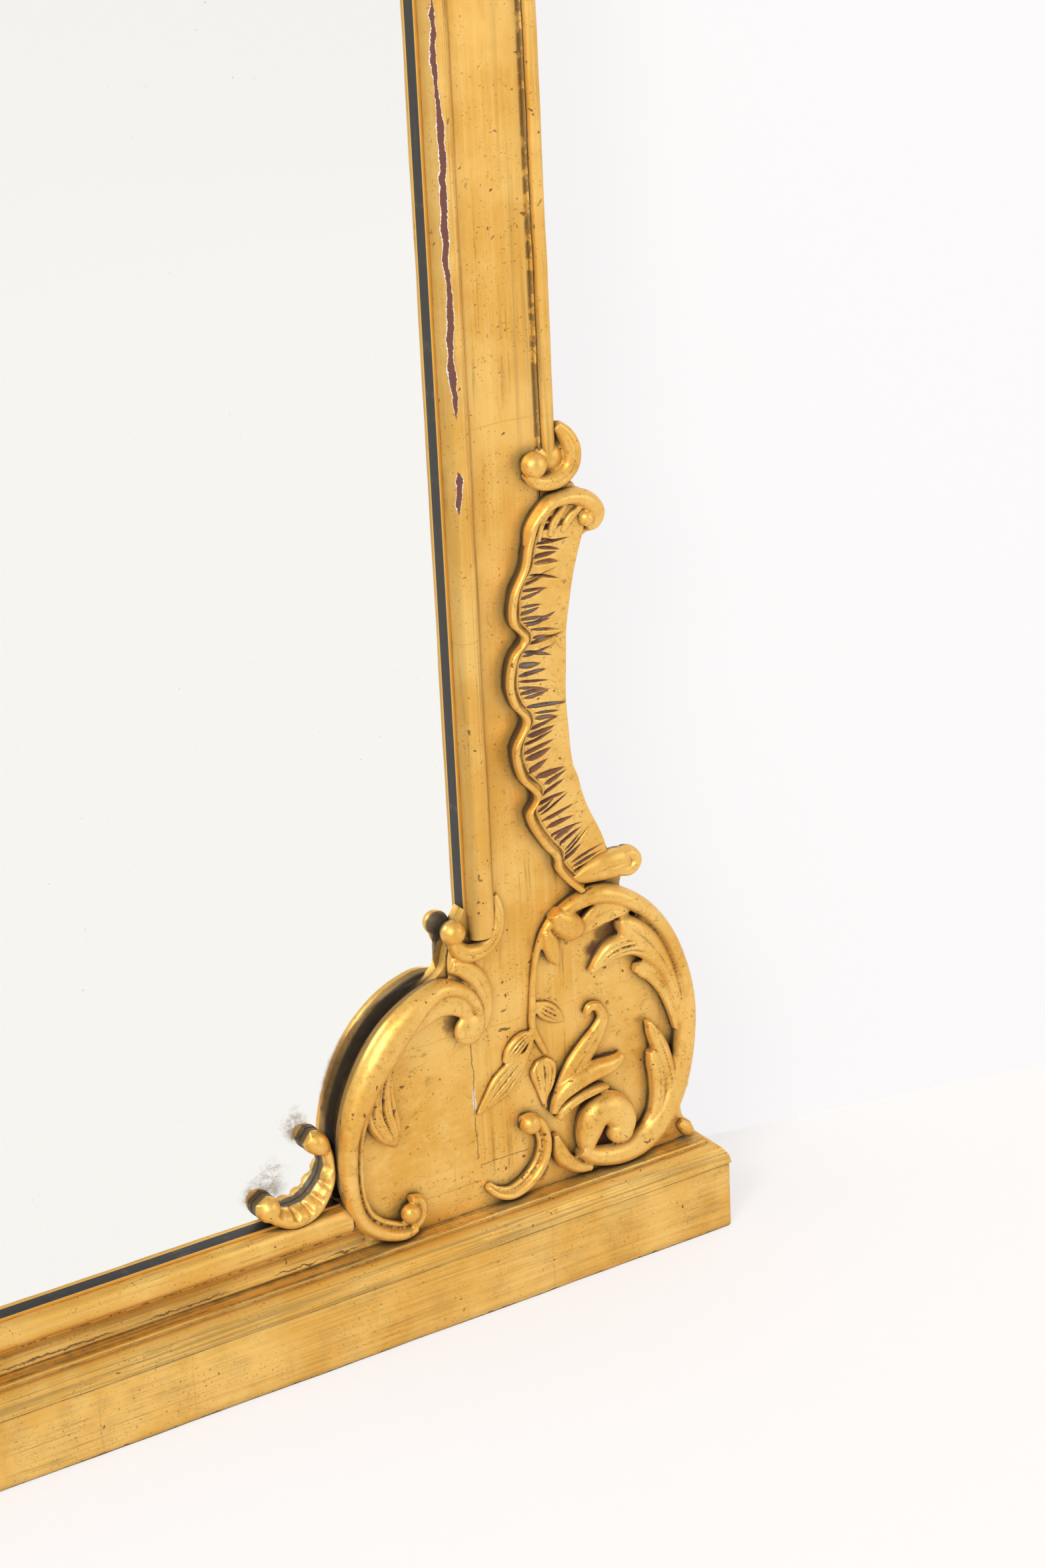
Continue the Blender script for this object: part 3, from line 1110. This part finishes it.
ball_link = [(-144, 106, 10, 14), (-140, 90, 10, 14), (-144, 72, 13, 18), (-159, 55.5, 17, 21),
             (-177, 51.5, 18, 22), (-190, 56, 15, 20), (-197, 62, 12, 17)]
upper_knob = [(-141, 99, 10, 13), (-147, 105, 18, 17), (-153, 111, 19, 17), (-158, 115, 12, 13)]
lower_knob = [(-191, 56, 12, 14), (-195, 61, 20, 18), (-199, 68, 20, 18), (-202, 73, 12, 13)]


def slab(t, u):
    """Nearly flat band with soft edges."""
    return 0.72 + 0.28 * np.sqrt(np.clip(1 - t ** 4, 0, 1))


def inner_scroll():
    shapes = carved(sight_corner, (
        (inner_roll, rolled(1, 0.55)), (roll_strand, leafy(1, 0.03, 0.12)), (end_curl, dome),
        (inner_leaf, leafy(3, 0.42)), (neck, slab), (sight_hook, leafy(1, 0.2)), (feather, leafy(1, 0.2))))
    shapes += [carved_ball(sight_corner, *ball) for ball in (hook_knob, roll_ball, curl_boss)]
    return skinned(shapes)


def ball_scroll():
    def crimped(t, u):
        return dome(t, u) - 0.42 * (t < -0.1) * np.abs(np.sin(math.pi * 7 * u)) ** 5 * np.abs(t) ** 0.7
    strokes = ((ball_link, crimped), (upper_knob, dome), (lower_knob, dome))
    points, faces = skinned(carved(sight_corner, strokes, seat=glass_y, undercut=0.5))
    return np.minimum(points, (np.inf, glass_y - 0.2, np.inf)), faces


inner_carving = inner_scroll()
both_sides("inner_scroll", *inner_carving, gold_leaf, "inner_scroll")
ball_carving = ball_scroll()
both_sides("ball_scroll", *ball_carving, gold_leaf, "ball_scroll")
both_sides("top_scroll", *turned_over(*joined([inner_carving, ball_carving])), gold_leaf, "top_scroll")


# ---------------------------------------------------------------- crest
# Shaped top board with a fluted shell in the middle, leafy scrolls to each side of it and a bead along the
# board's edge, all carved in limewood and glued on. The gilding is the same as on the carving below.
crest_foot = (0.0, frame_top)
shell_height = 88.0
shell_reach = 158.0
shell_ribs = 9
shell_spread = 76.0
rib_profile = ((0.14, 0.22, 13), (0.45, 0.54, 12), (0.8, 0.98, 16), (0.99, 0.8, 14))
shell_ball = (0, shell_height - 2, 23, 2)
crest_balls = ((106, 104, 13, 9), (282, 50, 12, 8))
crest_grid = 1.3
crest_bead = [(543, 0, 14, 8), (533, 15, 14, 8), (498, 31, 14, 8), (438, 40, 14, 8), (380, 69, 14, 8),
              (326, 113, 14, 8), (267, 141, 14, 8), (203, 151, 14, 8), (146, 179, 14, 8),
              (100, 226, 14, 8), (60, 246, 14, 8)]
crest_roll = [(98, 106, 12, 12), (88, 118, 15, 14), (96, 134, 18, 15), (118, 134, 22, 17),
              (146, 112, 26, 18), (182, 90, 28, 19), (224, 82, 28, 19), (262, 88, 26, 18),
              (292, 80, 23, 17), (305, 60, 19, 15), (296, 42, 15, 13), (280, 42, 11, 11)]
crest_leaves = [
    [(128, 116, 10, 10), (150, 132, 18, 13), (166, 152, 8, 9)],
    [(196, 92, 12, 11), (222, 110, 20, 14), (238, 132, 7, 9)],
    [(296, 58, 14, 10), (330, 62, 22, 13), (362, 50, 18, 12), (398, 20, 6, 8)],
    [(286, 50, 10, 9), (318, 22, 18, 12), (356, -4, 20, 12), (404, -14, 7, 8)],
    [(150, 106, 10, 10), (128, 82, 15, 11), (104, 56, 18, 12), (84, 24, 16, 11), (72, -14, 5, 7)],
]
pendant = [
    [(0, 72, 26, 14), (0, 40, 22, 13), (0, 4, 16, 11), (0, -36, 4, 6)],
    [(-8, 66, 12, 10), (-30, 44, 16, 11), (-40, 16, 5, 7)],
    [(8, 66, 12, 10), (30, 44, 16, 11), (40, 16, 5, 7)],
]


def plain_mesh(name, points, faces):
    mesh = bpy.data.meshes.new(name)
    mesh.from_pydata([tuple(point) for point in points], [], [tuple(face) for face in faces])
    return mesh


def new_geometry_tree(name, sizes):
    """An empty geometry tree with named inputs, given as (name, kind, default)."""
    tree = bpy.data.node_groups.new(name, "GeometryNodeTree")
    tree.is_modifier = True
    tree.interface.new_socket("Geometry", in_out="INPUT", socket_type="NodeSocketGeometry")
    for label, kind, default in sizes:
        socket = tree.interface.new_socket(label, in_out="INPUT", socket_type=kind)
        if default is not None:
            socket.default_value = default
    tree.interface.new_socket("Geometry", in_out="OUTPUT", socket_type="NodeSocketGeometry")
    return tree, tree.nodes.new("NodeGroupInput").outputs, tree.nodes.new("NodeGroupOutput").inputs


def made_real(tree, copies, given, result):
    """Ends a tree: copies become plain geometry in the given material."""
    real = add_node(tree, "GeometryNodeRealizeInstances", {"Geometry": copies.outputs[0]})
    dressed = add_node(tree, "GeometryNodeSetMaterial", {
        "Geometry": real.outputs[0], "Material": given["Finish"]})
    tree.links.new(dressed.outputs[0], result["Geometry"])
    return tree


def worked_mesh(mesh, tree, sizes):
    """Runs a geometry tree over a mesh with the named sizes; gives back the plain mesh."""
    carrier = bpy.data.objects.new("carrier", mesh)
    bpy.context.collection.objects.link(carrier)
    step = carrier.modifiers.new("shape", "NODES")
    step.node_group = tree
    for item in tree.interface.items_tree:
        if item.item_type == "SOCKET" and item.in_out == "INPUT" and item.name in sizes:
            step[item.identifier] = sizes[item.name]
    done = bpy.data.meshes.new_from_object(carrier.evaluated_get(bpy.context.evaluated_depsgraph_get()))
    carrier.modifiers.remove(step)
    bpy.data.objects.remove(carrier)
    return done


def as_points(mesh):
    """The points and faces of a mesh."""
    return np.array([tuple(corner.co) for corner in mesh.vertices]), [
        tuple(face.vertices) for face in mesh.polygons]


def rib_fan_tree():
    """Copies one rib round a hub, evenly over the spread to each side of upright."""
    tree, given, result = new_geometry_tree("rib_fan", (
        ("Ribs", "NodeSocketInt", shell_ribs), ("Spread", "NodeSocketFloat", math.radians(shell_spread)),
        ("Hub", "NodeSocketVector", None), ("Finish", "NodeSocketMaterial", None)))
    hubs = add_node(tree, "GeometryNodePoints", {
        "Count": given["Ribs"], "Position": given["Hub"], "Radius": 1.0})
    index = Maths(tree, add_node(tree, "GeometryNodeInputIndex").outputs[0])
    share = index / (Maths(tree, given["Ribs"]) - 1.0)
    way = add_node(tree, "ShaderNodeCombineXYZ", {1: (share * 2.0 - 1.0) * given["Spread"]}).outputs[0]
    ribs = add_node(tree, "GeometryNodeInstanceOnPoints", {
        "Points": hubs.outputs[0], "Instance": given["Geometry"], "Rotation": way})
    return made_real(tree, ribs, given, result)


def crest_shell():
    reach = shell_reach - 4
    wide = reach * math.radians(2 * shell_spread) / (shell_ribs - 1)
    stroke = [(0, share * reach, wide * width, rise) for share, width, rise in rib_profile]
    rib = plain_mesh("rib", *carved_stroke((0.0, 0.0), stroke, leafy(1, 0.12), undercut=0.6))
    fan = worked_mesh(rib, rib_fan_tree(), {
        "Ribs": shell_ribs, "Spread": math.radians(shell_spread), "Finish": gold_leaf,
        "Hub": (crest_foot[0], 0.0, crest_foot[1] + shell_height)})
    leaves = carved(crest_foot, [(stroke, leafy(2)) for stroke in pendant])
    return skinned([as_points(fan)] + leaves + [carved_ball(crest_foot, *shell_ball)], crest_grid)


def crest_scroll():
    shapes = [carved_stroke(crest_foot, crest_roll, rolled(1))]
    shapes += carved(crest_foot, [(stroke, leafy(2)) for stroke in crest_leaves], lobes=2)
    shapes += [carved_ball(crest_foot, *ball) for ball in crest_balls]
    return skinned(shapes, crest_grid)


def carried(material, *nodes):
    """Gives CAD nodes that show as they are their material."""
    for node in nodes:
        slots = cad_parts[node].data.materials
        slots.clear()
        slots.append(material)


finished("crest_shell", *crest_shell(), gold_leaf, "crest_shell")
both_sides("crest_scroll", *crest_scroll(), gold_leaf, "crest_scroll")
both_sides("crest_bead", *carved_stroke(crest_foot, crest_bead, undercut=0), gold_leaf, "crest_bead")
carried(gold_leaf, "top_rail", "crest_board", "base_end_block_right", "base_end_block_left")


# ---------------------------------------------------------------- glass
# Old silvered plate, faintly green, with brown foxing where the carving stands close to it, and black paint
# on the narrow edge between the glass and the gilding.
smoked_places = ((407, 213, 96, 83, 3), (426, 318, 5, 20, 2), (289, 198, 7, 6, 2), (248, 154, 10, 6, 2))
hazy_places = ((286, 202), (246, 157), (262, 154))
foxed_places = ((283, 206), (262, 168))


def old_silver():
    """Silver that has gone smoky brown where the carving stands close to it, with freckles and stains."""
    material, tree = new_material("old_silver")
    place, (x, _, level) = object_place(tree)
    side = abs(x)

    def grain(scale, detail=3.0, rough=0.6):
        return noise(tree, place, scale, detail, rough)

    def apart_from(middle, height, wide=1.0):
        across = (side - middle * MM) / wide
        up = level - height * MM
        square = across * across + up * up
        return maths(tree, "SQRT", square)

    wisps = (grain(55.0, 5.0, 0.7) - 0.5) * 0.016
    smoke = level * 0.0
    for middle, height, wide, high, soft in smoked_places:
        near = apart_from(middle, height, wide / high) + wisps * 0.3
        smoke = larger(near.step((high + soft) * MM, (high - soft) * MM), smoke)
    haze = level * 0.0
    for middle, height in hazy_places:
        haze = larger((apart_from(middle, height) + wisps).step(0.016, 0.004), haze)
    haze = haze * grain(150.0, 5.0, 0.7).step(0.30, 0.66)
    stain = level * 0.0
    for middle, height in foxed_places:
        stain = larger((apart_from(middle, height) + wisps * 1.8).step(0.016, 0.003), stain)
    stain = stain * grain(210.0, 5.0, 0.75).step(0.40, 0.62)
    freckles = grain(260.0).step(0.735, 0.77) * grain(5.0).step(0.48, 0.62)
    mottled = smoke * grain(120.0, 4.0, 0.7).step(0.30, 0.62)
    spoiled = larger(stain * 0.6, freckles)
    colour = mixed(tree, smoke, (0.965, 0.975, 0.95, 1), (0.31, 0.26, 0.18, 1))
    colour = mixed(tree, mottled * 0.45, colour, (0.17, 0.125, 0.08, 1))
    colour = mixed(tree, haze * 0.75, colour, (0.33, 0.26, 0.18, 1))
    colour = mixed(tree, spoiled, colour, (0.30, 0.21, 0.12, 1))
    shaded(tree, Base_Color=colour, Metallic=(1.0 - spoiled * 0.6) - smoke * 0.16, Roughness=0.015)
    return material


gold_lip = 1.6


def black_paint():
    """Black paint between the glass and the gilding, scratched lengthwise; gilding laps over its front."""
    material, tree = new_material("black_edge_paint")
    place, (x, y, z) = object_place(tree)
    worn = noise(tree, place, 90.0, 5.0)
    scratches = streaky(tree, 3.0, 0.5, y * 1500.0, z * 7.0, x * 7.0)
    colour = mixed(tree, worn.step(0.55, 0.75), (0.011, 0.008, 0.006, 1), (0.05, 0.038, 0.025, 1))
    colour = mixed(tree, scratches.step(0.68, 0.76) * 0.5, colour, (0.30, 0.28, 0.24, 1))
    lip = (panel_y + gold_lip - base_depth / 2) * MM
    gilded = y.step(lip + 0.0003, lip - 0.0003)
    colour = mixed(tree, gilded, colour, leaf_gold)
    shaded(tree, Base_Color=colour, Metallic=gilded * 0.7, Roughness=0.40)
    return material


carried(old_silver(), "mirror_glass")
carried(black_paint(), "sight_slips")


# ---------------------------------------------------------------- back
# Boards, battens, braces and glazing blocks of old bare pine, gone brown with age. Slotted iron screws stand
# flush in the battens, in the braces and in the iron straps that carry the two hanging rings.
def bare_pine(name, grain_scale):
    material, tree = new_material(name)
    place, _ = object_place(tree)
    drawn = add_node(tree, "ShaderNodeMapping", {"Vector": place, "Scale": grain_scale}).outputs[0]
    rings = noise(tree, drawn, 9.0, 5.0, distortion=0.6)
    fibre = noise(tree, drawn, 90.0, 3.0)
    dirt = noise(tree, place, 6.0, 4.0)
    colour = mixed(tree, rings.step(0.40, 0.62), (0.36, 0.21, 0.10, 1), (0.20, 0.105, 0.045, 1))
    colour = mixed(tree, fibre * 0.35, colour, (0.12, 0.065, 0.03, 1))
    colour = mixed(tree, dirt.step(0.5, 0.8) * 0.5, colour, (0.08, 0.05, 0.03, 1))
    bump = add_node(tree, "ShaderNodeBump", {"Height": fibre, "Strength": 0.4, "Distance": 0.0006})
    shaded(tree, Base_Color=colour, Roughness=0.72, Normal=bump.outputs[0])
    return material


def old_iron():
    material, tree = new_material("old_iron")
    rust = noise(tree, object_place(tree)[0], 180.0, 5.0)
    colour = mixed(tree, rust.step(0.48, 0.66), (0.10, 0.095, 0.09, 1), (0.16, 0.07, 0.03, 1))
    bump = add_node(tree, "ShaderNodeBump", {"Height": rust, "Strength": 0.3, "Distance": 0.0004})
    shaded(tree, Base_Color=colour, Metallic=0.7, Roughness=0.55, Normal=bump.outputs[0])
    return material


head_radius = 4.5
head_height = 2.6
slot_width = 1.1
slot_seed = 5
batten_levels = (520.0, 1360.0)
batten_ends = [(side * 512.5, lift) for side in (-1, 1) for lift in (-17.5, 17.5)]
board_middles = (-320.0, 0.0, 320.0)
board_offsets = (-100.0, 100.0)
brace_x = 210.0
brace_levels = (1750.5, 1822.2, 1873.5)
brace_thickness = 16.0
hanger_x = 515.0
hanger_top = 1540.0
hanger_drops = (18.0, 52.0, 80.0)
strap_thickness = 2.0


def slotted_screws_tree():
    """Sets a flat, slotted screw head into the wood at each point, each slot turned its own way."""
    tree, given, result = new_geometry_tree("slotted_screws", (
        ("Head Radius", "NodeSocketFloat", head_radius), ("Head Height", "NodeSocketFloat", head_height),
        ("Slot Width", "NodeSocketFloat", slot_width), ("Seed", "NodeSocketInt", slot_seed),
        ("Finish", "NodeSocketMaterial", None)))
    radius = Maths(tree, given["Head Radius"])
    height = Maths(tree, given["Head Height"])
    head = add_node(tree, "GeometryNodeMeshCone", {
        "Vertices": 28, "Radius Top": radius * 0.95, "Radius Bottom": radius, "Depth": height})
    slot_size = add_node(tree, "ShaderNodeCombineXYZ", {
        0: radius * 2.4, 1: given["Slot Width"], 2: height}).outputs[0]
    cutter = add_node(tree, "GeometryNodeMeshCube", {"Size": slot_size})
    lift = add_node(tree, "ShaderNodeCombineXYZ", {2: height * 1.05}).outputs[0]
    raised = add_node(tree, "GeometryNodeTransform", {
        "Geometry": cutter.outputs["Mesh"], "Translation": lift})
    slotted = add_node(tree, "GeometryNodeMeshBoolean", {0: head.outputs["Mesh"], 1: raised.outputs[0]},
                       operation="DIFFERENCE")
    spun = add_node(tree, "FunctionNodeRandomValue", {2: 0.0, 3: math.pi, "Seed": given["Seed"]},
                    data_type="FLOAT")
    way = add_node(tree, "ShaderNodeCombineXYZ", {0: -math.pi / 2, 1: spun.outputs[1]}).outputs[0]
    heads = add_node(tree, "GeometryNodeInstanceOnPoints", {
        "Points": given["Geometry"], "Instance": slotted.outputs[0], "Rotation": way})
    return made_real(tree, heads, given, result)


def screw_places():
    """(x, z, y of the face) of each screw that holds the back's battens and the crest's braces."""
    places = [(x, level + lift, base_depth) for level in batten_levels for x, lift in batten_ends]
    places += [(middle + offset, level, base_depth) for level in batten_levels
               for middle in board_middles for offset in board_offsets]
    places += [(side, level, core_back + brace_thickness) for side in (-brace_x, brace_x)
               for level in brace_levels]
    return places


def set_screws(name, places, node):
    middles = [(x, y - head_height / 2, z) for x, z, y in places]
    heads = worked_mesh(plain_mesh(name, middles, []), slotted_screws_tree(), {
        "Head Radius": head_radius, "Head Height": head_height, "Slot Width": slot_width,
        "Seed": slot_seed, "Finish": iron})
    finished(name, *as_points(heads), iron, node, slot="iron", crisp=30)


iron = old_iron()
carried(bare_pine("pine_upright", (1, 1, 0.06)), "back_board_1", "back_board_2", "back_board_3",
        "crest_braces", "glazing_blocks")
carried(bare_pine("pine_level", (0.06, 1, 1)), "back_batten_lower", "back_batten_upper", "base_back_rail")
carried(iron, "hanger_strap_right", "hanger_strap_left", "hanger_ring_right", "hanger_ring_left")
set_screws("back_screw_heads", screw_places(), "back_screws")
hanger_places = [(side * hanger_x, hanger_top - drop, core_back + strap_thickness)
                 for side in (-1, 1) for drop in hanger_drops]
set_screws("hanger_screw_heads", hanger_places, "hanger_screws")
